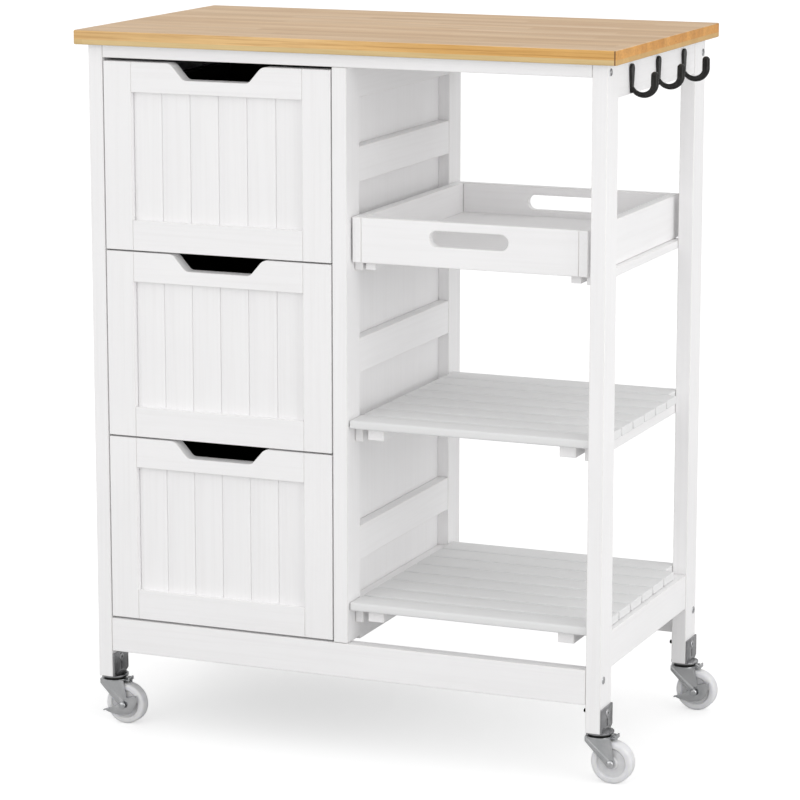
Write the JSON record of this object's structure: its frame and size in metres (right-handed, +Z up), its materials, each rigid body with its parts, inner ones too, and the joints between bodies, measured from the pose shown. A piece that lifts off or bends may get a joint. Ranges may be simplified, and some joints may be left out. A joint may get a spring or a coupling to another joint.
{
  "type": "rolling utility cart",
  "caption": "Rolling kitchen cart: wooden worktop on a painted frame, a stack of drawers beside an open bay with a lift-out tray and slatted shelves, coat hooks and swivel casters.",
  "frame": {"origin": "on the floor, below the middle of the cart's overall box", "axes": "+Z up, the drawers open towards -Y, the hook end faces +X"},
  "size_m": [0.6916, 0.38, 0.845],
  "materials": {
    "white_paint": "satin white paint on wood",
    "bamboo": "satin varnish, edge-glued strips",
    "black_enamel": "gloss",
    "black_laminate": "matt black melamine on board",
    "zinc": "bright zinc plate",
    "frosted_plastic": "translucent white"
  },
  "bodies": {
    "frame": {"back_panel": "white_paint", "bottom_shelf": "white_paint", "bottom_shelf_support_left": "white_paint", "front_bottom_rail": "white_paint", "front_left_caster_bracket": "zinc", "front_left_post": "white_paint", "front_middle_post": "white_paint", "front_right_caster_bracket": "zinc", "front_right_post": "white_paint", "front_top_rail": "white_paint", "hook_1": "black_enamel", "hook_2": "black_enamel", "hook_3": "black_enamel", "hook_rail": "white_paint", "left_bottom_rail": "white_paint", "left_drawer_rail_1": "white_paint", "left_drawer_rail_2": "white_paint", "left_drawer_rail_3": "white_paint", "left_panel": "white_paint", "left_top_rail": "white_paint", "middle_shelf": "white_paint", "middle_shelf_support_left": "white_paint", "middle_shelf_support_right": "white_paint", "partition_bottom_rail": "white_paint", "partition_drawer_rail_1": "white_paint", "partition_drawer_rail_2": "white_paint", "partition_drawer_rail_3": "white_paint", "partition_panel": "white_paint", "partition_top_rail": "white_paint", "rear_bottom_rail": "white_paint", "rear_left_caster_bracket": "zinc", "rear_left_post": "white_paint", "rear_middle_post": "white_paint", "rear_right_caster_bracket": "zinc", "rear_right_post": "white_paint", "rear_top_rail": "white_paint", "right_bottom_rail": "white_paint", "tray_support_left": "white_paint", "tray_support_right": "white_paint", "worktop": "bamboo"},
    "drawer_1": {"drawer_front_1": "white_paint", "drawer_box_1": "black_laminate"},
    "drawer_2": {"drawer_front_2": "white_paint", "drawer_box_2": "black_laminate"},
    "drawer_3": {"drawer_front_3": "white_paint", "drawer_box_3": "black_laminate"},
    "tray": {"tray_walls": "white_paint", "tray_floor": "white_paint"},
    "front_left_fork": {"front_left_caster_fork": "zinc"},
    "front_left_wheel": {"front_left_wheel": "frosted_plastic"},
    "front_left_brake": {"front_left_brake_lever": "zinc"},
    "front_right_fork": {"front_right_caster_fork": "zinc"},
    "front_right_wheel": {"front_right_wheel": "frosted_plastic"},
    "rear_left_fork": {"rear_left_caster_fork": "zinc"},
    "rear_left_wheel": {"rear_left_wheel": "frosted_plastic"},
    "rear_right_fork": {"rear_right_caster_fork": "zinc"},
    "rear_right_wheel": {"rear_right_wheel": "frosted_plastic"},
    "rear_right_brake": {"rear_right_brake_lever": "zinc"}
  },
  "joints": [
    {"name": "drawer_1_slide", "type": "slide", "parent": "frame", "child": "drawer_1", "axis": [0, -1, 0], "range_m": [0, 0.25]},
    {"name": "drawer_2_slide", "type": "slide", "parent": "frame", "child": "drawer_2", "axis": [0, -1, 0], "range_m": [0, 0.25]},
    {"name": "drawer_3_slide", "type": "slide", "parent": "frame", "child": "drawer_3", "axis": [0, -1, 0], "range_m": [0, 0.25]},
    {"name": "tray_slide", "type": "slide", "parent": "frame", "child": "tray", "axis": [0, -1, 0], "range_m": [0, 0.3]},
    {"name": "front_left_swivel", "type": "hinge", "parent": "frame", "child": "front_left_fork", "pos_m": [-0.32085, -0.15975, 0.061], "axis": [0, 0, 1], "continuous": true},
    {"name": "front_left_roll", "type": "hinge", "parent": "front_left_fork", "child": "front_left_wheel", "pos_m": [-0.30425, -0.15975, 0.025], "axis": [0, 1, 0], "continuous": true},
    {"name": "front_left_brake", "type": "hinge", "parent": "front_left_fork", "child": "front_left_brake", "pos_m": [-0.30425, -0.15975, 0.025], "axis": [0, 1, 0], "range_deg": [-12, 12]},
    {"name": "front_right_swivel", "type": "hinge", "parent": "frame", "child": "front_right_fork", "pos_m": [0.30415, -0.15975, 0.061], "axis": [0, 0, 1], "continuous": true},
    {"name": "front_right_roll", "type": "hinge", "parent": "front_right_fork", "child": "front_right_wheel", "pos_m": [0.32075, -0.15975, 0.025], "axis": [0, 1, 0], "continuous": true},
    {"name": "rear_left_swivel", "type": "hinge", "parent": "frame", "child": "rear_left_fork", "pos_m": [-0.32085, 0.15975, 0.061], "axis": [0, 0, 1], "continuous": true},
    {"name": "rear_left_roll", "type": "hinge", "parent": "rear_left_fork", "child": "rear_left_wheel", "pos_m": [-0.30425, 0.15975, 0.025], "axis": [0, 1, 0], "continuous": true},
    {"name": "rear_right_swivel", "type": "hinge", "parent": "frame", "child": "rear_right_fork", "pos_m": [0.30415, 0.15975, 0.061], "axis": [0, 0, 1], "continuous": true},
    {"name": "rear_right_roll", "type": "hinge", "parent": "rear_right_fork", "child": "rear_right_wheel", "pos_m": [0.32075, 0.15975, 0.025], "axis": [0, 1, 0], "continuous": true},
    {"name": "rear_right_brake", "type": "hinge", "parent": "rear_right_fork", "child": "rear_right_brake", "pos_m": [0.32075, 0.15975, 0.025], "axis": [0, 1, 0], "range_deg": [-12, 12]}
  ]
}
